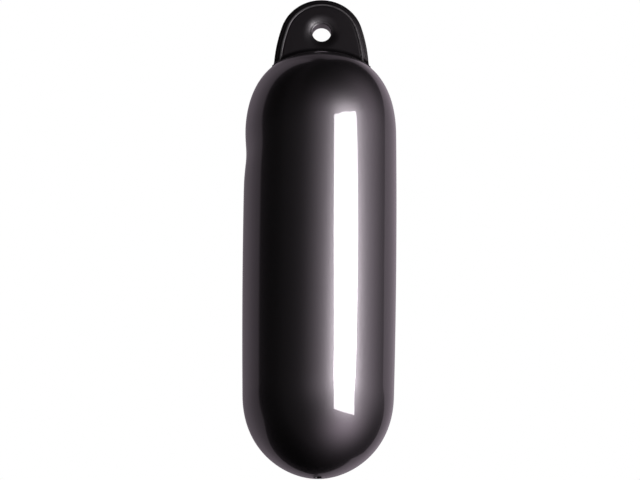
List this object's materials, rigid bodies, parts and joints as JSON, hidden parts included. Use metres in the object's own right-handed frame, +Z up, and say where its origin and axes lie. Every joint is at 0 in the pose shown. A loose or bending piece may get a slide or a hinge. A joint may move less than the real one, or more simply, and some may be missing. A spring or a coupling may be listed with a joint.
{
  "type": "pneumatic fender",
  "caption": "Inflatable cylindrical boat fender in glossy black PVC with domed ends, a moulded satin rope eye on top and an air valve in the foot.",
  "frame": {"origin": "centre of the rope hole, where the fender hangs", "axes": "+Z up along the body's axis, -Y out of the eye's front face, +X to the right seen from the front"},
  "size_m": [0.1502, 0.1502, 0.4868],
  "materials": {
    "body_pvc": "glossy black soft PVC",
    "eye_pvc": "satin black moulded PVC",
    "valve_plastic": "satin black nylon",
    "seal_rubber": "matt black rubber",
    "screw_plastic": "satin black nylon"
  },
  "bodies": {
    "root": {"shell": "body_pvc", "rope_eye": "eye_pvc", "valve_body": "valve_plastic", "valve_seal": "seal_rubber", "valve_screw": "screw_plastic"}
  },
  "joints": []
}
